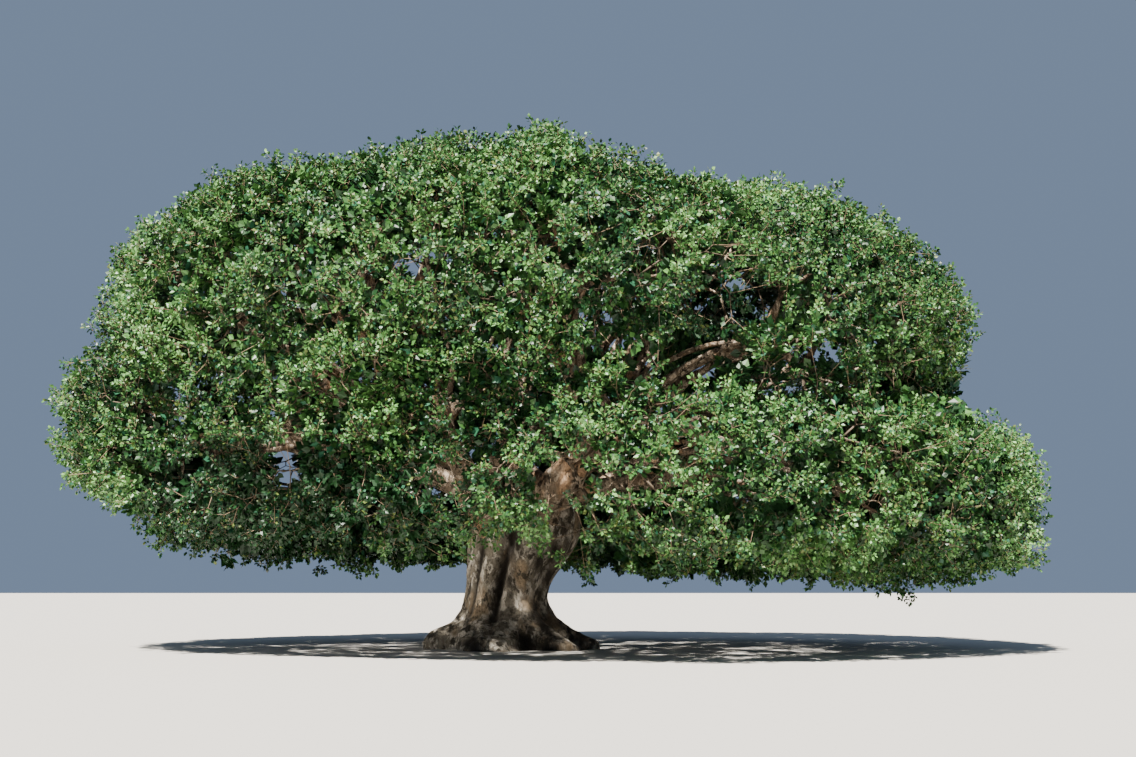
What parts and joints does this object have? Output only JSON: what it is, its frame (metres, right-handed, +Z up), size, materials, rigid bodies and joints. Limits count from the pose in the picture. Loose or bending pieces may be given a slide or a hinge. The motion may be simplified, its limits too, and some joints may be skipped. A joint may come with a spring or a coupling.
{
  "type": "sycamore fig tree",
  "caption": "Large spreading fig tree with a short fluted trunk, wide root flare, low forking boughs and a broad dense domed crown of separate foliage masses.",
  "frame": {"origin": "middle of the flat cut under the trunk, at ground level", "axes": "+Z up; +X to the right of the pictured side, where the low side of the crown reaches furthest; the pictured side faces -Y"},
  "size_m": [34.645, 28.9347, 17.0129],
  "materials": {
    "bark": "rough fluted bark, grey-brown with pale patches",
    "foliage": "satin green leaves"
  },
  "bodies": {
    "root": {"bough_high_01": "bark", "bough_high_02": "bark", "bough_high_03": "bark", "bough_high_04": "bark", "bough_high_05": "bark", "bough_high_06": "bark", "bough_low_01": "bark", "bough_low_02": "bark", "bough_low_03": "bark", "bough_low_04": "bark", "bough_low_05": "bark", "bough_low_06": "bark", "bough_low_07": "bark", "bough_low_08": "bark", "bough_low_09": "bark", "bough_low_10": "bark", "bough_mid_01": "bark", "bough_mid_02": "bark", "bough_mid_03": "bark", "bough_mid_04": "bark", "bough_mid_05": "bark", "bough_mid_06": "bark", "bough_mid_07": "bark", "bough_mid_08": "bark", "bough_top_01": "bark", "foliage_high_01": "foliage", "foliage_high_02": "foliage", "foliage_high_03": "foliage", "foliage_high_04": "foliage", "foliage_high_05": "foliage", "foliage_high_06": "foliage", "foliage_low_01": "foliage", "foliage_low_02": "foliage", "foliage_low_03": "foliage", "foliage_low_04": "foliage", "foliage_low_05": "foliage", "foliage_low_06": "foliage", "foliage_low_07": "foliage", "foliage_low_08": "foliage", "foliage_low_09": "foliage", "foliage_low_10": "foliage", "foliage_mid_01": "foliage", "foliage_mid_02": "foliage", "foliage_mid_03": "foliage", "foliage_mid_04": "foliage", "foliage_mid_05": "foliage", "foliage_mid_06": "foliage", "foliage_mid_07": "foliage", "foliage_mid_08": "foliage", "foliage_top_01": "foliage", "trunk": "bark"}
  },
  "joints": []
}
